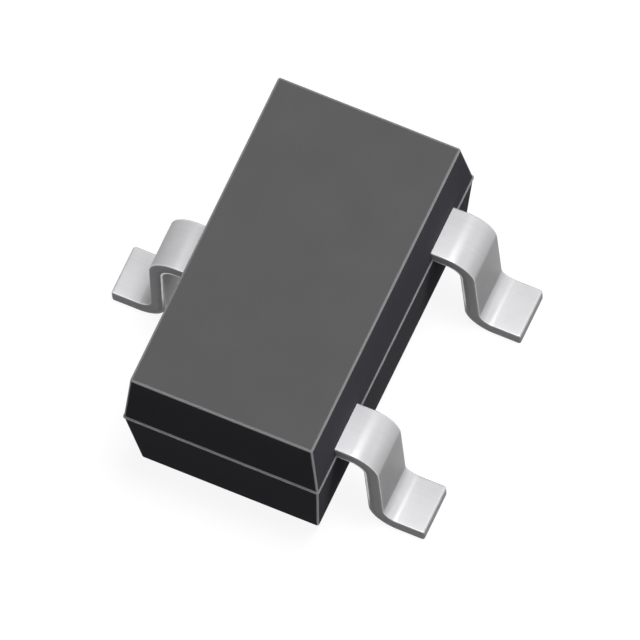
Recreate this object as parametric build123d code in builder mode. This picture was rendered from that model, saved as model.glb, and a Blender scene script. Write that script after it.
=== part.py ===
from build123d import *
import os
from math import radians, tan

# A three-lead n-channel MOSFET for surface mounting, in millimetres.
# The origin is the centre of the footprint on the seating plane, where the three soles stand.
# +X runs along the body, +Y points to the side with two leads, and +Z is up.

# Lead frame: one sheet of copper alloy, stamped flat and then bent outside the body
lead_thickness = 0.13
lead_width = 0.46
lead_pitch = 1.90            # gate lead to source lead, centre to centre
frame_gap = 0.15             # compound between the paddle and the bond posts
post_width = 0.70            # bond post at the inner end of the gate and source leads
post_depth = 0.24
plan_radius = 0.04           # stamped corners inside the body
notch_radius = 0.045         # half-round bites that lock a lead in the compound
lock_hole_radius = 0.05
lock_hole_inset = 0.12       # hole centre from the outer end of its bond post

# Gull-wing bends
bend_radius = 0.12           # inside radius of both bends
shin_lean = 1.0              # degrees from upright, foot outwards
shoulder_run = 0.115         # straight run from the body to the upper bend
sole_length = 0.24           # flat length that is soldered down

# Die and the layer that holds it
die_length = 0.80
die_depth = 0.66
die_thickness = 0.20
attach_thickness = 0.02
attach_fillet = 0.025        # how far the layer squeezes out past the die
paddle_margin = 0.07         # paddle past the die, on each side
pad_thickness = 0.005        # bond metal on top of the die
pad_border = 0.05            # bare silicon round the bond metal
pad_spacing = 0.04           # bare silicon between the gate pad and the source metal
gate_pad_size = 0.12

# Bond wires: a ball on the die, a low loop and a stitch on the post
gate_wire_diameter = 0.025
source_wire_diameter = 0.05
ball_width = 2.4             # sizes of the ball and the stitch are in wire diameters
ball_height = 0.8            # with the cone that narrows up to the wire
disc_height = 0.4            # squashed part under the cone
stitch_length = 3.2
stitch_width = 2.2
stitch_height = 0.35
loop_rise = 0.13             # bond metal to the centre of the wire at its highest
neck_kink = 0.03             # slant where the wire leaves the rise
loop_sag = 0.015             # the loop falls this much before it turns down
turn_run = 0.09              # slant where the wire turns down, along and down
turn_drop = 0.045
descent_run = 0.36           # from the turn to the stitch
source_ball_inset = 0.28     # first source ball from the end of the die
source_ball_setback = 0.14   # first source ball from the front of the die
source_ball_step = 0.15      # first to second source ball, along the die and across it
stitch_inset = 0.13          # nearest stitch from the inner end of its bond post
stitch_step = 0.21           # first to second source stitch

# Moulded body: two drafted halves that part under the leads
end_cover = 0.245            # compound past the bond posts
front_cover = 0.20           # compound outside the bond posts
back_cover = 0.36            # compound outside the paddle
top_cover = 0.13             # compound above the loops
lower_height = 0.91          # parting plane to the underside
standoff = 0.09              # underside to the seating plane
end_draft = 6.0              # degrees from upright
side_draft = 5.0
corner_radius = 0.020
edge_radius = 0.014
flash_height = 0.024         # thin band left where the two halves of the mould meet
flash_reach = 0.006
ejector_radius = 0.30        # shallow round print of the ejector pin, underneath
ejector_depth = 0.015
gate_scar_width = 0.30       # where the compound's runner broke off, under the parting line
gate_scar_height = 0.09
gate_scar_depth = 0.05

# Heights above the seating plane
parting_z = standoff + lower_height
frame_top = parting_z + lead_thickness
attach_top = frame_top + attach_thickness
die_top = attach_top + die_thickness
pad_top = die_top + pad_thickness
loop_top = pad_top + loop_rise
body_top = loop_top + source_wire_diameter / 2 + top_cover

# Sizes and places in plan
paddle_length = die_length + 2 * paddle_margin
paddle_depth = die_depth + 2 * paddle_margin
body_length = lead_pitch + post_width + 2 * end_cover
body_width = back_cover + paddle_depth + frame_gap + post_depth + front_cover
body_side = body_width / 2
body_end = body_length / 2
lead_x = lead_pitch / 2
paddle_back = back_cover - body_side
paddle_y = paddle_back + paddle_depth / 2
post_outer = body_side - front_cover
post_y = post_outer - post_depth / 2
die_front = paddle_y + die_depth / 2

# Where the wires start on the die and end on the posts
gate_ball = Vector(
    die_length / 2 - pad_border - gate_pad_size / 2,
    die_front - pad_border - gate_pad_size / 2,
)
gate_stitch = Vector(lead_x - post_width / 2 + stitch_inset, post_y)
source_ball_1 = Vector(source_ball_inset - die_length / 2, die_front - source_ball_setback)
source_ball_2 = source_ball_1 - Vector(source_ball_step, source_ball_step)
source_stitch_1 = Vector(-gate_stitch.X, post_y)
source_stitch_2 = source_stitch_1 - Vector(stitch_step, 0)


def gull_wing(plane, inner_end):
    """Side profile of a bent lead, on a plane whose X points out of the body and whose Y is up."""
    half_turn = radians(90 - shin_lean) / 2
    outer_radius = bend_radius + lead_thickness
    knee = body_side + shoulder_run + bend_radius * tan(half_turn)
    ankle = knee + parting_z * tan(radians(shin_lean))
    toe = ankle + outer_radius * tan(half_turn) + sole_length
    with BuildSketch(plane) as profile:
        with BuildLine():
            FilletPolyline(
                (inner_end, parting_z),
                (knee, parting_z),
                (ankle, 0),
                (toe, 0),
                radius=[bend_radius, outer_radius],
            )
            offset(amount=lead_thickness, side=Side.LEFT)
        make_face()
    return profile.sketch


def lock_notches(x, y):
    """Half-round bites in both edges of a lead, between its inner end and the body's side."""
    with BuildSketch(Plane.XY.offset(parting_z)) as bites:
        with Locations((x - lead_width / 2, y), (x + lead_width / 2, y)):
            Circle(notch_radius)
    return bites.sketch


def bond_wire(diameter, ball, stitch):
    """A wire that rises from a ball on the die, loops over and comes down in a stitch on a post."""
    reach = stitch - ball
    along = reach.normalized()
    loop_plane = Plane(
        origin=(ball.X, ball.Y, 0),
        x_dir=along,
        z_dir=along.cross(Vector(0, 0, 1)),
    )
    post_plane = Plane(origin=(stitch.X, stitch.Y, frame_top), x_dir=along)
    turn = reach.length - descent_run - turn_run
    turn_z = loop_top - loop_sag
    descent = turn_z - turn_drop - frame_top
    ball_radius = diameter * ball_width / 2
    with BuildPart() as wire:
        with BuildLine(loop_plane) as loop:
            Polyline(
                (0, pad_top),
                (0, loop_top - neck_kink),
                (neck_kink, loop_top),
                (turn, turn_z),
                (turn + turn_run, turn_z - turn_drop),
                (reach.length + diameter * descent_run / descent, frame_top - diameter),
            )
        with BuildSketch(Plane(origin=loop.line @ 0, z_dir=loop.line % 0)):
            Circle(diameter / 2)
        sweep(transition=Transition.RIGHT)
        split(bisect_by=Plane.XY.offset(frame_top), keep=Keep.TOP)
        with BuildSketch(loop_plane):
            with BuildLine():
                Polyline(
                    (0, pad_top),
                    (ball_radius, pad_top),
                    (ball_radius, pad_top + diameter * disc_height),
                    (diameter / 2, pad_top + diameter * ball_height),
                    (0, pad_top + diameter * ball_height),
                    close=True,
                )
            make_face()
        revolve(axis=Axis((ball.X, ball.Y, 0), (0, 0, 1)))
        with BuildSketch(post_plane):
            SlotOverall(diameter * stitch_length, diameter * stitch_width)
        extrude(amount=diameter * stitch_height)
    return wire


def mould_half(plane, height):
    """One drafted half of the body, grown from the parting plane along the plane's normal."""
    length = body_length - 2 * flash_reach
    width = body_width - 2 * flash_reach
    end_taper = 2 * height * tan(radians(end_draft))
    side_taper = 2 * height * tan(radians(side_draft))
    with BuildPart() as half:
        with BuildSketch(plane):
            Rectangle(length, width)
        with BuildSketch(plane.offset(height)):
            Rectangle(length - end_taper, width - side_taper)
        loft(ruled=True)
        fillet(half.edges().filter_by(lambda edge: edge.bounding_box().size.Z > height / 2), corner_radius)
        fillet(half.faces().sort_by(Axis(plane.origin, plane.z_dir))[-1].edges(), edge_radius)
    return half.part


# Gate lead: the bond post, its lock hole and the bent lead
with BuildPart() as gate_lead:
    with BuildSketch(Plane.XY.offset(parting_z)) as post:
        with Locations((lead_x, post_y)):
            Rectangle(post_width, post_depth)
        fillet(post.vertices(), plan_radius)
        with Locations((lead_x + post_width / 2 - lock_hole_inset, post_y)):
            Circle(lock_hole_radius, mode=Mode.SUBTRACT)
    extrude(amount=lead_thickness)
    extrude(gull_wing(Plane.YZ.offset(lead_x), post_outer), amount=lead_width / 2, both=True)
    extrude(lock_notches(lead_x, post_outer + front_cover / 2), amount=lead_thickness, mode=Mode.SUBTRACT)
gate_lead.part.label = "gate_lead"

# Source lead: the gate lead's mirror image
with BuildPart() as source_lead:
    mirror(gate_lead.part, about=Plane.YZ)
source_lead.part.label = "source_lead"

# Drain lead: one piece with the paddle that carries the die
with BuildPart() as drain_lead:
    with BuildSketch(Plane.XY.offset(parting_z)) as paddle:
        with Locations((0, paddle_y)):
            Rectangle(paddle_length, paddle_depth)
        fillet(paddle.vertices(), plan_radius)
    extrude(amount=lead_thickness)
    drain_side = Plane(origin=(0, 0, 0), x_dir=(0, -1, 0), z_dir=(-1, 0, 0))
    extrude(gull_wing(drain_side, -paddle_back), amount=lead_width / 2, both=True)
    extrude(lock_notches(0, paddle_back - back_cover / 2), amount=lead_thickness, mode=Mode.SUBTRACT)
drain_lead.part.label = "drain_lead"

# Attach layer, which narrows from its squeezed-out edge up to the die
with BuildPart() as die_attach:
    with BuildSketch(Plane.XY.offset(frame_top)):
        with Locations((0, paddle_y)):
            Rectangle(die_length + 2 * attach_fillet, die_depth + 2 * attach_fillet)
    with BuildSketch(Plane.XY.offset(attach_top)):
        with Locations((0, paddle_y)):
            Rectangle(die_length, die_depth)
    loft()
die_attach.part.label = "die_attach"

# Die, with the source metal and the gate pad standing proud of its top
with BuildPart() as die:
    with BuildSketch(Plane.XY.offset(attach_top)):
        with Locations((0, paddle_y)):
            Rectangle(die_length, die_depth)
    extrude(amount=die_thickness)
    with BuildSketch(Plane.XY.offset(die_top)):
        with Locations((0, paddle_y)):
            Rectangle(die_length - 2 * pad_border, die_depth - 2 * pad_border)
        with Locations((gate_ball.X, gate_ball.Y)):
            Rectangle(gate_pad_size + 2 * pad_spacing, gate_pad_size + 2 * pad_spacing, mode=Mode.SUBTRACT)
            Rectangle(gate_pad_size, gate_pad_size)
    extrude(amount=pad_thickness)
die.part.label = "die"

# Bond wires: one thin wire to the gate, two thicker ones to the source
gate_wire = bond_wire(gate_wire_diameter, gate_ball, gate_stitch)
gate_wire.part.label = "gate_wire"
source_wire_1 = bond_wire(source_wire_diameter, source_ball_1, source_stitch_1)
source_wire_1.part.label = "source_wire_1"
source_wire_2 = bond_wire(source_wire_diameter, source_ball_2, source_stitch_2)
source_wire_2.part.label = "source_wire_2"

# Moulded body, with a cavity that fits everything moulded into it
upper_half = mould_half(Plane.XY.offset(parting_z), body_top - parting_z)
lower_half = mould_half(-Plane.XY.offset(parting_z), lower_height)
with BuildPart() as mould_body:
    add([upper_half, lower_half])
    with BuildSketch(Plane.XY.offset(parting_z - flash_height / 2)):
        RectangleRounded(body_length, body_width, corner_radius)
    extrude(amount=flash_height)
    with BuildSketch(Plane.XY.offset(parting_z)):
        with Locations((-body_end, 0)):
            Rectangle(gate_scar_depth, gate_scar_width, align=(Align.MIN, Align.CENTER))
    extrude(amount=-gate_scar_height)
    with BuildSketch(Plane.XY.offset(standoff)):
        Circle(ejector_radius)
    extrude(amount=ejector_depth, mode=Mode.SUBTRACT)
    add(
        [
            gate_lead.part,
            source_lead.part,
            drain_lead.part,
            die_attach.part,
            die.part,
            gate_wire.part,
            source_wire_1.part,
            source_wire_2.part,
        ],
        mode=Mode.SUBTRACT,
    )
mould_body.part.label = "mould_body"

os.makedirs("parts", exist_ok=True)
export_step(mould_body.part, "parts/mould_body.step")
export_step(gate_lead.part, "parts/gate_lead.step")
export_step(source_lead.part, "parts/source_lead.step")
export_step(drain_lead.part, "parts/drain_lead.step")
export_step(die_attach.part, "parts/die_attach.step")
export_step(die.part, "parts/die.step")
export_step(gate_wire.part, "parts/gate_wire.step")
export_step(source_wire_1.part, "parts/source_wire_1.step")
export_step(source_wire_2.part, "parts/source_wire_2.step")
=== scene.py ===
import bpy
import bmesh
from math import acos, cos, pi, radians, sin, tan
from mathutils import Matrix, Vector, noise


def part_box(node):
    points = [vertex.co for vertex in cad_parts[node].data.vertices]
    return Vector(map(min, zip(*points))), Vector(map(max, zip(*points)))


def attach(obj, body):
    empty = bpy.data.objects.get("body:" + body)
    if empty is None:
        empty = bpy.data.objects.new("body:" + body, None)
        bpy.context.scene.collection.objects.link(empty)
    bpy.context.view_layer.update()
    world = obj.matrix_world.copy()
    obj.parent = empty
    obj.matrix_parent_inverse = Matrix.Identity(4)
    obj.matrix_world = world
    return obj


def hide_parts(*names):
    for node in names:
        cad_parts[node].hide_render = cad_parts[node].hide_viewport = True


# Dresses a three-lead n-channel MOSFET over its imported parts.
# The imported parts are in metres. New pieces are worked out in millimetres and scaled to metres at the end.

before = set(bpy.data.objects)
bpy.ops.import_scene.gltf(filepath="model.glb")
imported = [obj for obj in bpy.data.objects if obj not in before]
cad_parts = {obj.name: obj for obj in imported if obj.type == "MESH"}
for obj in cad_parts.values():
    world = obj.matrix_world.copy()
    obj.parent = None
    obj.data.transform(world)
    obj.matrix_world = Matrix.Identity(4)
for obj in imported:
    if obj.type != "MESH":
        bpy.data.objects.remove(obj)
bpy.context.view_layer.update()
mm = 0.001


def boxInMm(node):
    low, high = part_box(node)
    return Vector(low) / mm, Vector(high) / mm


bodyLow, bodyHigh = boxInMm("mould_body")
gateLow, gateHigh = boxInMm("gate_lead")
drainLow, drainHigh = boxInMm("drain_lead")
sheetTop = boxInMm("die_attach")[0].z       # the attach layer lies on the stamped sheet
dieTop = boxInMm("die")[1].z
bodyEnd = bodyHigh.x
bodySide = bodyHigh.y

# what both the finishes and the meshes follow, in millimetres and degrees
sharedSizes = {
    "sheetThickness": 0.13,
    "endDraft": 6.0,            # lean of the body's ends, from upright
    "sideDraft": 5.0,           # and of its long sides
    "flashHeight": 0.024,       # thin band where the body's two halves part
    "flashReach": 0.006,        # how far the flash stands out of the drafted walls
}
partingZ = sheetTop - sharedSizes["sheetThickness"]     # the sheet lies on the parting plane
print("frame loaded:", len(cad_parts), "parts")


# Nodes for the finishes

def startMaterial(name):
    made = bpy.data.materials.new(name)
    made.use_nodes = True
    tree = made.node_tree
    return made, tree, tree.nodes["Principled BSDF"]


def feed(tree, socket, value):
    # a socket takes either a link or a plain value
    if isinstance(value, bpy.types.NodeSocket):
        tree.links.new(value, socket)
    else:
        socket.default_value = value


def coat(tree, shader, colour, roughness, metallic=0.0, specular=0.5):
    feed(tree, shader.inputs["Base Color"], colour)
    feed(tree, shader.inputs["Roughness"], roughness)
    feed(tree, shader.inputs["Metallic"], metallic)
    shader.inputs["Specular IOR Level"].default_value = specular


def calc(tree, operation, *values, clamp=False):
    made = tree.nodes.new("ShaderNodeMath")
    made.operation = operation
    made.use_clamp = clamp
    for socket, value in zip(made.inputs, values):
        feed(tree, socket, value)
    return made.outputs[0]


def between(tree, value, low, high, clamp=False):
    # low where the value is 0 and high where it is 1, in a straight line
    return calc(tree, "MULTIPLY_ADD", value, high - low, low, clamp=clamp)


def vectorCalc(tree, operation, first, second):
    made = tree.nodes.new("ShaderNodeVectorMath")
    made.operation = operation
    feed(tree, made.inputs[0], first)
    feed(tree, made.inputs[1], second)
    return made.outputs[0]


def fade(tree, value, start, end, low=0.0, high=1.0):
    # smooth step: low up to start, high from end on
    made = tree.nodes.new("ShaderNodeMapRange")
    made.interpolation_type = "SMOOTHSTEP"
    feed(tree, made.inputs["Value"], value)
    made.inputs["From Min"].default_value = start
    made.inputs["From Max"].default_value = end
    feed(tree, made.inputs["To Min"], low)
    feed(tree, made.inputs["To Max"], high)
    return made.outputs["Result"]


def grain(tree, place, scale, detail, roughness):
    made = tree.nodes.new("ShaderNodeTexNoise")
    feed(tree, made.inputs["Vector"], place)
    made.inputs["Scale"].default_value = scale
    made.inputs["Detail"].default_value = detail
    made.inputs["Roughness"].default_value = roughness
    return made.outputs["Fac"]


def blendColour(tree, amount, first, second, mode="MIX"):
    made = tree.nodes.new("ShaderNodeMix")
    made.data_type = "RGBA"
    made.blend_type = mode
    feed(tree, made.inputs[0], amount)
    # the colour sockets come after those for numbers and vectors
    feed(tree, made.inputs[6], first)
    feed(tree, made.inputs[7], second)
    return made.outputs[2]


def tint(tree, colour, level):
    # the colour made lighter or darker by a grey level
    made = tree.nodes.new("ShaderNodeCombineColor")
    for channel in range(3):
        feed(tree, made.inputs[channel], level)
    return blendColour(tree, 1.0, colour, made.outputs[0], "MULTIPLY")


def relief(tree, shader, height, depth):
    # depth is in metres, from the lowest to the highest point of the relief
    made = tree.nodes.new("ShaderNodeBump")
    made.inputs["Strength"].default_value = 1.0
    made.inputs["Distance"].default_value = depth
    feed(tree, made.inputs["Height"], height)
    tree.links.new(made.outputs["Normal"], shader.inputs["Normal"])


def placeInMm(tree):
    # where the surface is on the piece, in millimetres
    own = tree.nodes.new("ShaderNodeTexCoord").outputs["Object"]
    return vectorCalc(tree, "MULTIPLY", own, (1 / mm, 1 / mm, 1 / mm))


def splitVector(tree, vector):
    made = tree.nodes.new("ShaderNodeSeparateXYZ")
    tree.links.new(vector, made.inputs[0])
    return made.outputs


def surfaceNormal(tree):
    return splitVector(tree, tree.nodes.new("ShaderNodeTexCoord").outputs["Normal"])


def facing(tree):
    # how far the surface faces along X, Y and Z, from 0 to 1
    return [calc(tree, "ABSOLUTE", part) for part in surfaceNormal(tree)]


# Moulding compound: black epoxy full of silica, spark-eroded on top and smoother on the drafted sides.
# The finishes after it give their noises, shades and roughnesses in the same way.

mouldCompound = {
    # the top's colour is painted lighter than the sides', as painted light from above and painted shade on
    # the sides
    "paintedLitTopColour": (0.129, 0.129, 0.129, 1),
    "sideColour": (0.091, 0.091, 0.103, 1),
    "wornAndHighlightColour": (0.28, 0.28, 0.285, 1),       # upper edges: wear, and painted highlight lines along them
    "uprightHighlightColour": (0.45, 0.45, 0.46, 1),       # upright edges and flash: wear, painted paler than the upper edges as painted highlight where less light falls
    "topFacing": (0.55, 0.85),                  # how far up a face looks, from the sides' colour to the top's painted-lit colour
    "grain": (75.0, 3.0, 0.6),                  # a noise's scale per millimetre, detail and roughness
    "grainShade": (0.83, 1.05),                 # brightness where the grain is 0 and where it is 1
    "grainRough": 0.10,                         # roughness added where the grain is 1
    "grainDepth": 0.35e-6,                      # metres
    "clouds": (2.6, 3.0, 0.5),
    "cloudShade": 0.12,                         # brightness added where the clouds are 1
    "cloudRelief": 0.5,                         # share of the grain's relief
    "topRough": 0.73,
    "sideRough": 0.81,
    "specular": 0.02,
    "rubbing": (14.0, 4.0, 0.65),
    "wearAndHighlightWidth": 0.022,                         # millimetres each side of an edge
    "wearAndHighlightCore": 0.4,                            # share of that width where the wear and painted highlight are full
    "wearAndHighlightUneven": 0.010,                        # millimetres by which the width varies
    "wearAndHighlightAmount": (0.62, 1.12),                 # over the rubbing, and held to 1
    "wearAndHighlightMetal": 0.62,
}


def edgeDistance(tree, place):
    # millimetres to the nearest edge of the drafted body or to its parting line
    x, y, z = splitVector(tree, place)
    size = sharedSizes
    fromParting = calc(tree, "ABSOLUTE", calc(tree, "SUBTRACT", z, partingZ))
    gaps = []
    for along, reach, draft in ((x, bodyEnd, size["endDraft"]), (y, bodySide, size["sideDraft"])):
        wall = calc(tree, "MULTIPLY_ADD", fromParting, -tan(radians(draft)), reach - size["flashReach"])
        gaps.append(calc(tree, "SUBTRACT", wall, calc(tree, "ABSOLUTE", along)))
    gaps.append(calc(tree, "SUBTRACT", bodyHigh.z, z))
    # an edge is where two of the three faces are near, so the middle one of their distances counts
    nearer = calc(tree, "MINIMUM", gaps[0], gaps[1])
    further = calc(tree, "MAXIMUM", gaps[0], gaps[1])
    middle = calc(tree, "MAXIMUM", nearer, calc(tree, "MINIMUM", further, gaps[2]))
    band = calc(tree, "SUBTRACT", fromParting, size["flashHeight"] / 2)
    return calc(tree, "MINIMUM", middle, band)


def makeCompound():
    look = mouldCompound
    made, tree, shader = startMaterial("mouldCompound")
    place = placeInMm(tree)
    fine = grain(tree, place, *look["grain"])
    clouds = grain(tree, place, *look["clouds"])
    rubbed = grain(tree, place, *look["rubbing"])
    upward = fade(tree, facing(tree)[2], *look["topFacing"])

    # painted light: the top lighter and the sides darker, as if lit from above
    tone = blendColour(tree, upward, look["sideColour"], look["paintedLitTopColour"])
    level = between(tree, fine, *look["grainShade"])
    level = calc(tree, "MULTIPLY_ADD", clouds, look["cloudShade"], level)
    tone = tint(tree, tone, level)

    # wear and painted highlight lines along the edges and the parting line, paler on upright faces
    uneven = between(tree, rubbed, -look["wearAndHighlightUneven"] / 2, look["wearAndHighlightUneven"] / 2)
    distance = calc(tree, "ADD", edgeDistance(tree, place), uneven)
    wearAndHighlight = fade(tree, distance, look["wearAndHighlightWidth"] * look["wearAndHighlightCore"], look["wearAndHighlightWidth"], 1.0, 0.0)
    wearAndHighlight = calc(tree, "MULTIPLY", wearAndHighlight, between(tree, rubbed, *look["wearAndHighlightAmount"], clamp=True))
    wornAndHighlightTone = blendColour(tree, upward, look["uprightHighlightColour"], look["wornAndHighlightColour"])

    rough = fade(tree, upward, 0.0, 1.0, look["sideRough"], look["topRough"])
    rough = calc(tree, "MULTIPLY_ADD", fine, look["grainRough"], rough)
    metal = calc(tree, "MULTIPLY", wearAndHighlight, look["wearAndHighlightMetal"])
    coat(tree, shader, blendColour(tree, wearAndHighlight, tone, wornAndHighlightTone), rough, metal, look["specular"])
    height = calc(tree, "MULTIPLY_ADD", clouds, look["cloudRelief"], fine)
    relief(tree, shader, height, look["grainDepth"])
    return made


# Fresh break where the runner came off

freshBreak = {
    "colour": (0.115, 0.114, 0.112, 1),
    "crumbs": (55.0, 5.0, 0.7),
    "pits": (22.0, 3.0, 0.6),
    "shade": (0.55, 1.45),
    "rough": (0.72, 0.92),
    "specular": 0.2,
    "depth": 3e-6,
}


def makeBrokenCompound():
    look = freshBreak
    made, tree, shader = startMaterial("brokenCompound")
    place = placeInMm(tree)
    crumbs = grain(tree, place, *look["crumbs"])
    pits = grain(tree, place, *look["pits"])
    colour = tint(tree, look["colour"], between(tree, crumbs, *look["shade"]))
    coat(tree, shader, colour, between(tree, crumbs, *look["rough"]), specular=look["specular"])
    relief(tree, shader, calc(tree, "ADD", crumbs, pits), look["depth"])
    return made


# Tin plating over copper alloy: satin along the strip, greyer where the sheet was sheared

tinPlating = {
    "colour": (0.69, 0.69, 0.705, 1),
    "paintedShadeColour": (0.385, 0.385, 0.39, 1),         # upright outer faces: painted shade, darker as if turned from the light
    "burnishedAndHighlightColour": (0.86, 0.86, 0.87, 1),       # rolled edges: burnish, and painted highlight lines
    "shearedColour": (0.336, 0.336, 0.345, 1),
    "metallic": 0.12,
    "burnishedMetal": 0.55,                         # metallic share that a bright edge adds
    "specular": 0.46,
    "streakStretch": (46.0, 1.6, 1.6),              # rolling marks per millimetre along X, Y and Z
    "streaks": (1.0, 3.0, 0.6),
    "streakShade": (0.82, 0.92),
    "streakRough": (0.35, 0.47),
    "streakDepth": 0.12e-6,
    "blotches": (7.0, 3.0, 0.55),
    "blotchShade": 0.10,
    "blotchRough": 0.10,
    "crystals": (120.0, 2.0, 0.6),
    "crystalShade": 0.06,
    "crystalRelief": 0.5,                           # share of the streaks' relief
    "paintedShadeLean": 0.32,                              # a face that looks further up than this gets no painted shade
    "paintedShadeReach": 0.3,                              # painted shade in full this many millimetres out
    "edgeFacing": (0.06, 0.30),                     # how far an edge faces sideways as it turns bright
    "shearFacing": (0.38, 0.68),                    # and as it turns grey
    "edgeAmount": (0.6, 1.2),                       # over the blotches, and held to 1
    "edgePolish": -0.15,                            # roughness added on a bright edge
}


def makeTin():
    look = tinPlating
    made, tree, shader = startMaterial("tinPlating")
    place = placeInMm(tree)
    alongStrip = vectorCalc(tree, "MULTIPLY", place, look["streakStretch"])
    streaks = grain(tree, alongStrip, *look["streaks"])
    crystals = grain(tree, place, *look["crystals"])
    blotches = grain(tree, place, *look["blotches"])
    level = between(tree, streaks, *look["streakShade"])
    level = calc(tree, "MULTIPLY_ADD", blotches, look["blotchShade"], level)
    level = calc(tree, "MULTIPLY_ADD", crystals, look["crystalShade"], level)

    across, _, upward = facing(tree)
    # above 0 on the faces turned away from the body, the only ones given the painted shade, so the inner
    # faces in the body's shade keep the lighter colour as painted light
    outward = calc(tree, "MULTIPLY", splitVector(tree, place)[1], surfaceNormal(tree)[1])
    upright = fade(tree, upward, 0.0, look["paintedShadeLean"], 1.0, 0.0)
    paintedShade = calc(tree, "MULTIPLY", upright, fade(tree, outward, 0.0, look["paintedShadeReach"]))
    # only the rolled edges of the strip face along X: bright beside the flat face, as burnish and painted
    # highlight, then grey like the shear
    sheared = fade(tree, across, *look["shearFacing"])
    edge = calc(tree, "SUBTRACT", fade(tree, across, *look["edgeFacing"]), sheared)
    edge = calc(tree, "MULTIPLY", edge, between(tree, blotches, *look["edgeAmount"], clamp=True))
    # painted shade on the upright outer faces, then burnish and painted highlight on the rolled edges
    tone = blendColour(tree, paintedShade, look["colour"], look["paintedShadeColour"])
    tone = blendColour(tree, edge, tone, look["burnishedAndHighlightColour"])
    tone = blendColour(tree, sheared, tone, look["shearedColour"])

    rough = between(tree, streaks, *look["streakRough"])
    rough = calc(tree, "MULTIPLY_ADD", blotches, look["blotchRough"], rough)
    rough = calc(tree, "MULTIPLY_ADD", edge, look["edgePolish"], rough)
    metal = calc(tree, "MULTIPLY_ADD", edge, look["burnishedMetal"], look["metallic"])
    coat(tree, shader, tint(tree, tone, level), rough, metal, look["specular"])
    height = calc(tree, "MULTIPLY_ADD", crystals, look["crystalRelief"], streaks)
    relief(tree, shader, height, look["streakDepth"])
    return made


# The part of a punched face that the punch cut: smooth, with fine drag lines

shearedFace = {
    "drag": (34.0, 4.0, 0.7),
    "lines": (110.0, 3.0, 0.6),
    "dragShade": (0.70, 1.00),
    "lineShade": 0.16,
    "lineRelief": 0.6,          # share of the drag's relief
    "rough": (0.40, 0.65),
    "depth": 0.4e-6,
}


def makeShearedTin():
    look = shearedFace
    made, tree, shader = startMaterial("shearedTin")
    place = placeInMm(tree)
    drag = grain(tree, place, *look["drag"])
    lines = grain(tree, place, *look["lines"])
    level = between(tree, drag, *look["dragShade"])
    level = calc(tree, "MULTIPLY_ADD", lines, look["lineShade"], level)
    colour = tint(tree, tinPlating["shearedColour"], level)
    rough = between(tree, drag, *look["rough"])
    coat(tree, shader, colour, rough, tinPlating["metallic"], tinPlating["specular"])
    relief(tree, shader, calc(tree, "MULTIPLY_ADD", lines, look["lineRelief"], drag), look["depth"])
    return made


# The part under it, where the sheet tore off: dull, patchy and grainy

tornFace = {
    "crumbs": (150.0, 4.0, 0.7),
    "patches": (22.0, 3.0, 0.7),
    "patchEdges": (0.35, 0.65),     # where in the noise a patch starts and is full
    "crumbShade": (0.64, 1.14),
    "patchShade": 0.22,
    "rough": (0.50, 0.70),
    "depth": 1e-6,
}


def makeTornTin():
    look = tornFace
    made, tree, shader = startMaterial("tornTin")
    place = placeInMm(tree)
    crumbs = grain(tree, place, *look["crumbs"])
    patches = fade(tree, grain(tree, place, *look["patches"]), *look["patchEdges"])
    level = between(tree, crumbs, *look["crumbShade"])
    level = calc(tree, "MULTIPLY_ADD", patches, look["patchShade"], level)
    colour = tint(tree, tinPlating["shearedColour"], level)
    rough = between(tree, crumbs, *look["rough"])
    coat(tree, shader, colour, rough, tinPlating["metallic"], tinPlating["specular"])
    relief(tree, shader, calc(tree, "ADD", crumbs, patches), look["depth"])
    return made


# The lowest part of the punched faces: a bright band, burnish and painted highlight, which stays dull low
# down near the soles

burrFace = {
    "drag": (34.0, 4.0, 0.7),
    "dullAndBright": (0.20, 0.50),      # millimetres up: dull to the first, bright from the second
    "polishAndHighlight": (0.6, 1.2),               # over the drag, and held to 1
    "shade": (0.75, 1.05),
    "rough": (0.35, 0.55),
    "depth": 0.3e-6,
}


def makeBurrTin():
    look = burrFace
    made, tree, shader = startMaterial("burrTin")
    place = placeInMm(tree)
    drag = grain(tree, place, *look["drag"])
    polishAndHighlight = fade(tree, splitVector(tree, place)[2], *look["dullAndBright"])
    # painted highlight: the band turns bright from 0.5 millimetres up
    polishAndHighlight = calc(tree, "MULTIPLY", polishAndHighlight, between(tree, drag, *look["polishAndHighlight"], clamp=True))
    tone = blendColour(tree, polishAndHighlight, tinPlating["shearedColour"], tinPlating["burnishedAndHighlightColour"])
    colour = tint(tree, tone, between(tree, drag, *look["shade"]))
    metal = calc(tree, "MULTIPLY_ADD", polishAndHighlight, tinPlating["burnishedMetal"], tinPlating["metallic"])
    coat(tree, shader, colour, between(tree, drag, *look["rough"]), metal, tinPlating["specular"])
    relief(tree, shader, drag, look["depth"])
    return made


# Inside: silicon with its bond metal, the layer under it and the gold wires

siliconChip = {
    "bareColour": (0.11, 0.12, 0.15, 1),
    "padColour": (0.86, 0.86, 0.87, 1),
    "padFade": (0.004, 0.003),              # millimetres below the top, from bare silicon to bond metal
    "sawStretch": (3.0, 3.0, 90.0),         # saw marks per millimetre along X, Y and Z
    "sawMarks": (1.0, 2.0, 0.5),
    "sawShade": (0.8, 1.2),
    "sawDepth": 0.2e-6,
    "sparkle": (160.0, 2.0, 0.5),
    "padShade": (0.85, 1.05),
    "rough": (0.15, 0.40),
}


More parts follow.
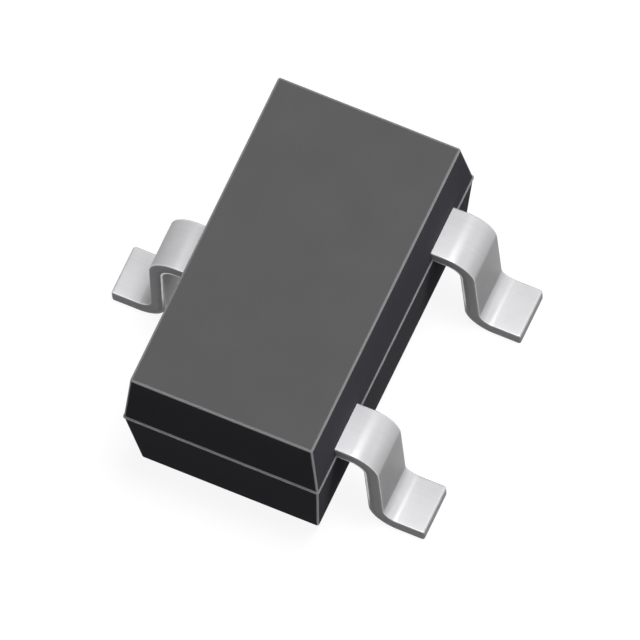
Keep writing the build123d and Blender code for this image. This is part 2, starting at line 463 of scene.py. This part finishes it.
def makeSilicon():
    look = siliconChip
    made, tree, shader = startMaterial("siliconDie")
    place = placeInMm(tree)
    height = splitVector(tree, place)[2]
    bareBelow, padAbove = [dieTop - depth for depth in look["padFade"]]
    onPads = fade(tree, height, bareBelow, padAbove)
    sawMarks = grain(tree, vectorCalc(tree, "MULTIPLY", place, look["sawStretch"]), *look["sawMarks"])
    sparkle = grain(tree, place, *look["sparkle"])
    bare = tint(tree, look["bareColour"], between(tree, sawMarks, *look["sawShade"]))
    pads = tint(tree, look["padColour"], between(tree, sparkle, *look["padShade"]))
    rough = between(tree, sparkle, *look["rough"])
    coat(tree, shader, blendColour(tree, onPads, bare, pads), rough, onPads)
    relief(tree, shader, sawMarks, look["sawDepth"])
    return made


silverAdhesive = {
    "colour": (0.56, 0.56, 0.55, 1),
    "metallic": 0.6,
    "noise": (95.0, 4.0, 0.7),      # silver flakes
    "shade": (0.7, 1.2),
    "rough": (0.45, 0.75),
    "depth": 1.2e-6,
}
goldWire = {
    "colour": (0.83, 0.62, 0.28, 1),
    "metallic": 1.0,
    "noise": (130.0, 2.0, 0.5),     # marks of the drawing die
    "shade": (0.88, 1.08),
    "rough": (0.18, 0.33),
    "depth": 0.1e-6,
}


def makeInnerMetal(name, look):
    made, tree, shader = startMaterial(name)
    marks = grain(tree, placeInMm(tree), *look["noise"])
    colour = tint(tree, look["colour"], between(tree, marks, *look["shade"]))
    coat(tree, shader, colour, between(tree, marks, *look["rough"]), look["metallic"])
    relief(tree, shader, marks, look["depth"])
    return made


compound = makeCompound()
brokenCompound = makeBrokenCompound()
tin = makeTin()
shearedTin = makeShearedTin()
tornTin = makeTornTin()
burrTin = makeBurrTin()
silicon = makeSilicon()
attachLayer = makeInnerMetal("attachLayer", silverAdhesive)
bondMetal = makeInnerMetal("bondMetal", goldWire)
print("finishes made")


# Shared mesh work

def arcPoints(centre, radius, start, end, steps):
    # from one angle to the other in degrees, with both ends
    turns = [radians(start + (end - start) * step / steps) for step in range(steps + 1)]
    return [Vector((centre[0] + radius * cos(turn), centre[1] + radius * sin(turn))) for turn in turns]


def insetLoop(loop, amount):
    # the loop moved to its left, so into the sheet for an outline that runs anticlockwise
    moved = []
    for before, point, after in zip(loop[-1:] + loop[:-1], loop, loop[1:] + loop[:1]):
        first = (point - before).normalized()
        second = (after - point).normalized()
        normals = Vector((-first.y - second.y, first.x + second.x))
        moved.append(point + normals * (amount / (1 + first.dot(second))))
    return moved


def joinRings(shape, lower, upper, material):
    count = len(lower)
    for index in range(count):
        after = (index + 1) % count
        face = shape.faces.new((lower[index], lower[after], upper[after], upper[index]))
        face.material_index = material


def finishShape(name, shape, materials):
    bmesh.ops.recalc_face_normals(shape, faces=shape.faces)
    mesh = bpy.data.meshes.new(name)
    shape.to_mesh(mesh)
    shape.free()
    for material in materials:
        mesh.materials.append(material)
    piece = bpy.data.objects.new(name, mesh)
    bpy.context.scene.collection.objects.link(piece)
    return piece


def smoothShade(piece, sharpAngle):
    # edges steeper than the angle stay sharp, and the large faces keep flat shading
    piece.data.shade_smooth()
    piece.data.set_sharp_from_angle(angle=radians(sharpAngle))
    weighted = piece.modifiers.new("evenNormals", "WEIGHTED_NORMAL")
    weighted.keep_sharp = True
    weighted.weight = 100


def ragged(x, y, z):
    # uneven from place to place, from 0 to 1, and the same on every run
    return 0.5 + 0.5 * noise.noise(Vector((x, y, z)))


# Leads: stamped flat with rolled edges, then bent outside the body

stampedLead = {
    "thickness": sharedSizes["sheetThickness"],
    "stripWidth": 0.46,
    "bendRadius": 0.12,         # inside radius of both bends
    "shinLean": 1.0,            # degrees from upright, foot outwards
    "shoulderRun": 0.115,       # straight run from the body to the upper bend
    "entry": 0.012,             # depth inside the body where the strip starts
    "bendStep": 3.0,            # degrees between two rows of faces
    "shinSteps": 6,
    "soleSteps": 3,
    "topRoll": 0.015,           # rolled edge on the punch's side of the sheet
    "bottomRoll": 0.007,
    "burrHeight": 0.024,        # top of the polished part of the sheared face
    "tornPart": 0.45,           # share of the sheared face that tore
    "tornSlope": 0.002,
    "rollSteps": 4,
    "plateCorner": 0.04,
    "toeCorner": 0.022,
    "cornerSteps": 5,
    "notchRadius": 0.045,
    "notchSteps": 14,
    "holeRadius": 0.05,
    "holeSteps": 32,
}


def leadRuns(toe):
    # length and turn of each run of the underside, from the body outwards
    size = stampedLead
    turn = radians(90 - size["shinLean"])
    outer = size["bendRadius"] + size["thickness"]
    shin = (partingZ - (size["bendRadius"] + outer) * (1 - cos(turn))) / sin(turn)
    spread = (size["bendRadius"] + outer) * sin(turn) + shin * cos(turn)
    flat = bodySide + size["shoulderRun"]
    sole = toe - flat - spread
    return flat, [(size["bendRadius"] * turn, -turn), (shin, 0.0), (outer * turn, turn), (sole, 0.0)]


def followLead(flat, runs, along, height):
    # a point of the flat sheet, at this height above its underside, once the lead is bent
    reach, level, heading = min(along, flat), partingZ, 0.0
    left = max(along - flat, 0.0)
    for length, turn in runs:
        step = min(left, length)
        if turn:
            radius = length / turn
            swing = step / radius
            reach += radius * (sin(heading + swing) - sin(heading))
            level -= radius * (cos(heading + swing) - cos(heading))
            heading += swing
        else:
            reach += step * cos(heading)
            level += step * sin(heading)
        left -= step
    return reach - height * sin(heading), level + height * cos(heading)


def sheetProfile():
    # inset and height of each ring, from the underside up to the top
    size = stampedLead
    quarter = [pi / 2 * step / size["rollSteps"] for step in range(size["rollSteps"] + 1)]
    low, high, torn = size["bottomRoll"], size["topRoll"], size["tornSlope"]
    rings = [(torn + low * (1 - sin(turn)), low * (1 - cos(turn))) for turn in quarter]
    tornTop = size["thickness"] * size["tornPart"]
    rings.append((torn * (tornTop - size["burrHeight"]) / (tornTop - low), size["burrHeight"]))
    rings.append((0.0, tornTop))
    rings += [(high * (1 - cos(turn)), size["thickness"] - high * (1 - sin(turn))) for turn in quarter]
    return rings


def halfOutline(plate, notch, flat, runs):
    # right half of the flat lead from its inner end to its toe,
    # with the place in it of the plate's middle and that of the strip's first row
    size = stampedLead
    inner, outer, halfPlate = plate
    half = size["stripWidth"] / 2
    corner, toeCorner, cornerSteps = size["plateCorner"], size["toeCorner"], size["cornerSteps"]
    right = arcPoints((halfPlate - corner, inner + corner), corner, -90, 0, cornerSteps)
    middle = len(right)
    right.append(Vector((halfPlate, (inner + outer) / 2)))
    right += arcPoints((halfPlate - corner, outer - corner), corner, 0, 90, cornerSteps)
    right.append(Vector((half, outer)))
    right += arcPoints((half, notch), size["notchRadius"], -90, -270, size["notchSteps"])
    firstRow = len(right)
    # the first row is just inside the body, so that the face of the plate ends there
    rows = [bodySide - size["entry"], flat]
    bendSteps = round((90 - size["shinLean"]) / size["bendStep"])
    for (length, _), steps in zip(runs, (bendSteps, size["shinSteps"], bendSteps, size["soleSteps"])):
        start = rows[-1]
        rows += [start + length * step / steps for step in range(1, steps + 1)]
    right += [Vector((half, row)) for row in rows[:-1]]
    right += arcPoints((half - toeCorner, rows[-1] - toeCorner), toeCorner, 0, 90, cornerSteps)
    return right, middle, firstRow


def coverSheet(shape, ring, rim, middle, firstRow):
    # one flat side of the sheet: the plate in two faces, then one between each two rows of the strip
    last = len(ring) - 1
    lower = ring[last - middle:] + ring[:middle + 1]
    upper = ring[middle:firstRow + 1] + ring[last - firstRow:last - middle + 1]
    if rim:
        # the two faces meet along the middle of the hole
        half = len(rim) // 2
        lower += rim[:half + 1]
        upper += rim[half:] + rim[:1]
    shape.faces.new(lower)
    shape.faces.new(upper)
    for index in range(firstRow, len(ring) // 2 - 1):
        shape.faces.new((ring[index], ring[index + 1], ring[last - index - 1], ring[last - index]))


def stampLead(name, centre, side, plate, notch, hole, toe):
    # plate is its inner end, its outer end and its half width, on the flat sheet
    size = stampedLead
    flat, runs = leadRuns(toe)
    right, middle, firstRow = halfOutline(plate, notch, flat, runs)
    loops = [right + [Vector((-point.x, point.y)) for point in reversed(right)]]
    if hole:
        loops.append(arcPoints(hole, size["holeRadius"], 0, -360, size["holeSteps"])[:-1])

    finishes = [tin, burrTin, tornTin, shearedTin]
    # each band's place in that list, from the underside up: rolled, burr, torn, sheared and rolled
    rolled = [0] * size["rollSteps"]
    bands = rolled + [1, 2, 3] + rolled
    shape = bmesh.new()
    ends = []
    for loop in loops:
        rings = []
        for inset, height in sheetProfile():
            ring = []
            for point in insetLoop(loop, inset):
                reach, level = followLead(flat, runs, point.y, height)
                ring.append(shape.verts.new((centre + side * point.x, side * reach, level)))
            rings.append(ring)
        for lower, upper, finish in zip(rings[:-1], rings[1:], bands):
            joinRings(shape, lower, upper, finish)
        ends.append((rings[0], rings[-1]))
    for flatSide in (0, 1):
        # underside, then top
        rim = ends[1][flatSide] if hole else []
        coverSheet(shape, ends[0][flatSide], rim, middle, firstRow)
    return finishShape(name, shape, finishes)


post = {
    "depth": 0.24,
    "notch": 0.10,          # from the post's outer end to the middle of the notches
    "holeInset": 0.12,      # from the post's side to the middle of the hole
}
paddle = {
    "depth": 0.80,
    "notch": 0.18,          # from the paddle's outer end to the middle of the notches
}
leadCentre = (gateLow.x + gateHigh.x) / 2
postHalf = (gateHigh.x - gateLow.x) / 2
postOuter = gateLow.y + post["depth"]
postPlate = (gateLow.y, postOuter, postHalf)
postNotch = postOuter + post["notch"]
holeAcross = postHalf - post["holeInset"]
holeAlong = (gateLow.y + postOuter) / 2
paddleOuter = paddle["depth"] - drainHigh.y
paddlePlate = (-drainHigh.y, paddleOuter, drainHigh.x)
paddleNotch = paddleOuter + paddle["notch"]

gateHole = (holeAcross, holeAlong)
sourceHole = (-holeAcross, holeAlong)
leads = {
    "gate_lead": stampLead("gateLead", leadCentre, 1, postPlate, postNotch, gateHole, gateHigh.y),
    "source_lead": stampLead("sourceLead", -leadCentre, 1, postPlate, postNotch, sourceHole, gateHigh.y),
    "drain_lead": stampLead("drainLead", 0.0, -1, paddlePlate, paddleNotch, None, -drainLow.y),
}
print("leads stamped and bent:", [len(lead.data.polygons) for lead in leads.values()], "faces")


# Body: two drafted halves with a thin flash where they part, moulded round everything inside

mouldedBody = {
    "cornerRadius": 0.020,
    "edgeRadius": 0.014,
    "leastRadius": 0.006,       # plan radius of the flat face's corners
    "edgeSteps": 5,
    "cornerSteps": 6,
    "longSteps": 60,            # faces along a long side, for the uneven flash
    "shortSteps": 34,
    "sideRows": 3,
    "flashRound": 0.005,        # height of the flash's rounded edge
    "flashInset": 0.002,        # and how far it stands in
    "flashUneven": 0.0018,
    "flashWave": (9.0, 20.0),   # per millimetre, in plan and in height
    "ejectorRadius": 0.30,
    "ejectorDepth": 0.015,
    "ejectorRim": 0.004,
    "ejectorBend": 0.3,         # share of the rim at the middle of its rounding
    "ejectorFoot": 0.002,       # slope between the print's wall and its floor
    "scarWidth": 0.30,
    "scarHeight": 0.09,
    "scarDepth": 0.05,
    "scarRough": 0.005,
    "scarRim": 0.35,            # share of the roughness by which the border lies deeper
    "scarWave": 40.0,           # per millimetre
    "scarSeed": 3.7,
    "scarColumns": 24,
    "scarRows": 7,
}


def planRing(endInset, sideInset, radius):
    # a rounded rectangle seen from above, anticlockwise, always with as many points
    size = mouldedBody
    long, wide = bodyEnd - endInset - radius, bodySide - sideInset - radius
    arcs = []
    for index, (x, y) in enumerate(((1, 1), (-1, 1), (-1, -1), (1, -1))):
        start = 90 * index
        arcs.append(arcPoints((x * long, y * wide), radius, start, start + 90, size["cornerSteps"]))
    counts = (size["longSteps"], size["shortSteps"]) * 2
    ring = []
    for arc, following, count in zip(arcs, arcs[1:] + arcs[:1], counts):
        ring += arc
        ring += [arc[-1].lerp(following[0], step / count) for step in range(1, count)]
    return ring


def wallInset(depth, height, draft):
    # how far a wall of one half stands in from the flash, at this depth from the half's flat face
    lean = radians(draft)
    radius = mouldedBody["edgeRadius"]
    foot = sharedSizes["flashReach"] + height * tan(lean)
    if depth >= radius * (1 - sin(lean)):
        return foot - depth * tan(lean)
    turn = acos(1 - depth / radius)
    return foot + radius * (tan((pi / 2 - lean) / 2) - sin(turn))


def halfSection(edgeZ):
    # rows of one half from its flat face to the flash: insets of the ends and sides, height and plan radius
    size = mouldedBody
    endDraft, sideDraft = sharedSizes["endDraft"], sharedSizes["sideDraft"]
    height = abs(edgeZ - partingZ)
    away = 1 if edgeZ > partingZ else -1
    roundTurn = pi / 2 - radians(endDraft)
    depths = [
        size["edgeRadius"] * (1 - cos(roundTurn * step / size["edgeSteps"]))
        for step in range(size["edgeSteps"] + 1)
    ]
    roundDepth = depths[-1]
    straight = height - sharedSizes["flashHeight"] / 2 - roundDepth
    depths += [roundDepth + straight * (row + 1) / size["sideRows"] for row in range(size["sideRows"])]
    rows = []
    for depth in depths:
        endInset = wallInset(depth, height, endDraft)
        rounded = endInset - wallInset(max(depth, roundDepth), height, endDraft)
        rows.append((
            endInset,
            wallInset(depth, height, sideDraft),
            edgeZ - away * depth,
            max(size["cornerRadius"] - rounded, size["leastRadius"]),
        ))
    return rows


def pressEjector(shape, around):
    # print of the ejector pin in the underside, with a soft rim
    size = mouldedBody
    rim, depth, foot = size["ejectorRim"], size["ejectorDepth"], size["ejectorFoot"]
    bend = rim * size["ejectorBend"]
    lower = around
    for grow, rise in ((rim, 0.0), (bend, bend), (0.0, rim), (0.0, depth - foot), (-foot, depth)):
        circle = []
        for vert in around:
            outward = vert.co.xy.normalized() * (size["ejectorRadius"] + grow)
            circle.append(shape.verts.new((outward.x, outward.y, bodyLow.z + rise)))
        joinRings(shape, lower, circle, 0)
        lower = circle
    shape.faces.new(lower)


def mouldShell():
    size = mouldedBody
    flash, trim = sharedSizes["flashHeight"] / 2, size["flashRound"]
    rows = halfSection(bodyLow.z)
    for level in (-flash, -flash + trim, 0.0, flash - trim, flash):
        inset = 0.0 if abs(level) < flash else size["flashInset"]
        rows.append((inset, inset, partingZ + level, size["cornerRadius"]))
    rows += reversed(halfSection(bodyHigh.z))

    shape = bmesh.new()
    inPlan, inHeight = size["flashWave"]
    rings = []
    for endInset, sideInset, level, radius in rows:
        onFlash = endInset < sharedSizes["flashReach"]
        ring = []
        for point in planRing(endInset, sideInset, radius):
            if onFlash:
                uneven = ragged(point.x * inPlan, point.y * inPlan, level * inHeight)
                point = point * (1 - size["flashUneven"] * uneven / point.length)
            ring.append(shape.verts.new((point.x, point.y, level)))
        rings.append(ring)
    for lower, upper in zip(rings[:-1], rings[1:]):
        joinRings(shape, lower, upper, 0)
    shape.faces.new(rings[-1])
    pressEjector(shape, rings[0])
    return finishShape("mouldBody", shape, [compound, brokenCompound])


def runnerScar():
    # the stub left under the parting line where the compound flowed in and was broken off
    size = mouldedBody
    columns, rows, wave = size["scarColumns"], size["scarRows"], size["scarWave"]
    shape = bmesh.new()
    front, rear = [], []
    for row in range(rows + 1):
        level = partingZ - size["scarHeight"] * row / rows
        frontRow, rearRow = [], []
        for column in range(columns + 1):
            across = size["scarWidth"] * (column / columns - 0.5)
            rough = ragged(across * wave, level * wave, size["scarSeed"])
            rim = size["scarRim"] if column in (0, columns) or row == rows else 0.0
            inward = size["scarRough"] * min(rough + rim, 1.0)
            frontRow.append(shape.verts.new((-bodyEnd + inward, across, level)))
            rearRow.append(shape.verts.new((-bodyEnd + size["scarDepth"], across, level)))
        front.append(frontRow)
        rear.append(rearRow)
    for rowsOfVerts in (front, rear):
        for upper, lower in zip(rowsOfVerts[:-1], rowsOfVerts[1:]):
            for column in range(columns):
                shape.faces.new((upper[column], upper[column + 1], lower[column + 1], lower[column]))
    borders = [(front[0], rear[0]), (front[-1], rear[-1])]
    for column in (0, -1):
        borders.append(([row[column] for row in front], [row[column] for row in rear]))
    for near, far in borders:
        for index in range(len(near) - 1):
            shape.faces.new((near[index], near[index + 1], far[index + 1], far[index]))
    for face in shape.faces:
        face.material_index = 1     # brokenCompound
    return finishShape("runnerScar", shape, [compound, brokenCompound])


moulding = {
    "weldGap": 1e-5,        # millimetres: corners of a cutter nearer than this are one
    "bite": 0.01,           # a sealed piece cuts this share of its height into the piece under it
    "sharpAngle": 35,       # degrees
}


def cutterFrom(source, scale, stretch=0.0):
    # a piece's bare corners and faces with the seams closed, without its normals and materials
    mesh = source.data
    corners = [vert.co * scale for vert in mesh.vertices]
    top = max(corner.z for corner in corners)
    for corner in corners:
        corner.z -= (top - corner.z) * stretch
    shape = bmesh.new()
    verts = [shape.verts.new(corner) for corner in corners]
    for face in mesh.polygons:
        shape.faces.new([verts[index] for index in face.vertices])
    bmesh.ops.remove_doubles(shape, verts=shape.verts, dist=moulding["weldGap"])
    return finishShape("cutter", shape, [])


def carve(piece, tools):
    # tools is a list of (operation, object), used once and then thrown away
    for operation, tool in tools:
        cut = piece.modifiers.new("cut", "BOOLEAN")
        cut.operation = operation
        cut.solver = "EXACT"
        cut.object = tool
        cut.double_threshold = 0.0
    graph = bpy.context.evaluated_depsgraph_get()
    carved = bpy.data.meshes.new_from_object(piece.evaluated_get(graph))
    # close the slivers that meeting cuts leave open
    shape = bmesh.new()
    shape.from_mesh(carved)
    bmesh.ops.holes_fill(shape, edges=[edge for edge in shape.edges if edge.is_boundary], sides=3)
    shape.to_mesh(carved)
    shape.free()
    piece.modifiers.clear()
    plain = piece.data
    piece.data = carved
    bpy.data.meshes.remove(plain)
    for _, tool in tools:
        mesh = tool.data
        bpy.data.objects.remove(tool)
        bpy.data.meshes.remove(mesh)


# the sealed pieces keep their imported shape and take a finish
sealedIn = {
    "die_attach": attachLayer,
    "die": silicon,
    "gate_wire": bondMetal,
    "source_wire_1": bondMetal,
    "source_wire_2": bondMetal,
}
mouldBody = mouldShell()
tools = [("UNION", runnerScar())]
tools += [("DIFFERENCE", cutterFrom(lead, 1.0)) for lead in leads.values()]
for node in sealedIn:
    tools.append(("DIFFERENCE", cutterFrom(bpy.data.objects[node], 1 / mm, moulding["bite"])))
carve(mouldBody, tools)
print("body moulded round its inserts:", len(mouldBody.data.polygons), "faces")

newPieces = [("mould_body", mouldBody, "mould_compound")]
newPieces += [(node, lead, "tinned_lead") for node, lead in leads.items()]
for node, piece, finish in newPieces:
    piece.data.transform(Matrix.Scale(mm, 4))
    smoothShade(piece, moulding["sharpAngle"])
    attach(piece, "root")
    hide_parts(node)

for node, material in sealedIn.items():
    for place in bpy.data.objects[node].material_slots:
        place.material = material
print("pieces finished and placed")


# Studio: a pale floor, a large soft light overhead, a weak low one before the two leads and an even fill

studio = {
    "floorSize": 160.0,             # millimetres
    "floorDrop": 0.002,             # under the soles, so that the two never share a plane
    "floorColour": (0.16, 0.16, 0.16, 1),
    "floorGlow": 0.905,             # seen by the camera and in reflections only
    "fill": 0.07,                   # even light from all round
    "lampDistance": 60.0,
    "lampSize": 20.0,
    "keyFrom": (-0.10, 0.13, 1.0),
    "keyLevel": 0.772,              # 1 renders a surface that faces the lamp at its own colour
    "frontFrom": (-0.30, 1.20, 0.60),
    "frontLevel": 0.132,
}


def seenDirectly(tree):
    # 1 for the camera and for rays in reflections and glass, 0 for light that falls on the part
    path = tree.nodes.new("ShaderNodeLightPath")
    seen = calc(tree, "ADD", path.outputs["Is Camera Ray"], path.outputs["Is Glossy Ray"])
    return calc(tree, "ADD", seen, path.outputs["Is Transmission Ray"], clamp=True)


def layFloor():
    half = studio["floorSize"] / 2 * mm
    level = -studio["floorDrop"] * mm
    mesh = bpy.data.meshes.new("floor")
    corners = [(x * half, y * half, level) for x, y in ((-1, -1), (1, -1), (1, 1), (-1, 1))]
    mesh.from_pydata(corners, [], [(0, 1, 2, 3)])
    floor = bpy.data.objects.new("floor", mesh)
    bpy.context.scene.collection.objects.link(floor)
    made = bpy.data.materials.new("paleFloor")
    made.use_nodes = True
    tree = made.node_tree
    tree.nodes.clear()
    matt = tree.nodes.new("ShaderNodeBsdfDiffuse")
    matt.inputs["Color"].default_value = studio["floorColour"]
    glow = tree.nodes.new("ShaderNodeEmission")
    tree.links.new(calc(tree, "MULTIPLY", seenDirectly(tree), studio["floorGlow"]), glow.inputs["Strength"])
    both = tree.nodes.new("ShaderNodeAddShader")
    tree.links.new(matt.outputs[0], both.inputs[0])
    tree.links.new(glow.outputs[0], both.inputs[1])
    out = tree.nodes.new("ShaderNodeOutputMaterial")
    tree.links.new(both.outputs[0], out.inputs["Surface"])
    mesh.materials.append(made)


def lightWorld():
    world = bpy.data.worlds.new("studio")
    world.use_nodes = True
    tree = world.node_tree
    sky = tree.nodes["Background"]
    sky.inputs["Color"].default_value = (1, 1, 1, 1)
    tree.links.new(fade(tree, seenDirectly(tree), 0.0, 1.0, studio["fill"], 1.0), sky.inputs["Strength"])
    bpy.context.scene.world = world


def hangLamp(name, start, level):
    data = bpy.data.lights.new(name, "AREA")
    data.shape = "SQUARE"
    data.size = studio["lampSize"] * mm
    away = studio["lampDistance"] * mm
    # power that gives this level on a surface that faces the lamp
    data.energy = level * pi ** 2 * away ** 2
    lamp = bpy.data.objects.new(name, data)
    bpy.context.scene.collection.objects.link(lamp)
    direction = Vector(start).normalized()
    middleOfBody = Vector((0, 0, (bodyLow.z + bodyHigh.z) / 2 * mm))
    lamp.location = middleOfBody + direction * away
    lamp.rotation_euler = direction.to_track_quat("Z", "Y").to_euler()


photoCamera = {
    "azimuth": 29.51,               # degrees from +X towards +Y
    "elevation": 65.73,
    "roll": -5.69,
    "target": (0.053, 0.208, 0.832),        # the middle of the picture, in millimetres
    "width": 5.200,                 # across the picture, in millimetres
    "distance": 60.0,
    "clipStart": 0.1,               # what the camera sees lies between these, in millimetres
    "clipEnd": 1000.0,
}


def setCamera():
    size = photoCamera
    azimuth, elevation, roll = [radians(size[turn]) for turn in ("azimuth", "elevation", "roll")]
    back = Vector((cos(elevation) * cos(azimuth), cos(elevation) * sin(azimuth), sin(elevation)))
    level = Vector((0, 0, 1)).cross(back).normalized()
    steep = back.cross(level)
    right = level * cos(roll) + steep * sin(roll)
    up = steep * cos(roll) - level * sin(roll)
    data = bpy.data.cameras.new("photoCamera")
    data.type = "ORTHO"
    data.ortho_scale = size["width"] * mm
    data.clip_start = size["clipStart"] * mm
    data.clip_end = size["clipEnd"] * mm
    camera = bpy.data.objects.new("photoCamera", data)
    bpy.context.scene.collection.objects.link(camera)
    stand = (Vector(size["target"]) + back * size["distance"]) * mm
    turned = Matrix((right, up, back)).transposed().to_4x4()
    camera.matrix_world = Matrix.Translation(stand) @ turned
    bpy.context.scene.camera = camera


layFloor()
lightWorld()
hangLamp("keyLamp", studio["keyFrom"], studio["keyLevel"])
hangLamp("frontLamp", studio["frontFrom"], studio["frontLevel"])
setCamera()
bpy.context.scene.view_settings.view_transform = "Standard"
print("studio set")

bpy.context.view_layer.update()
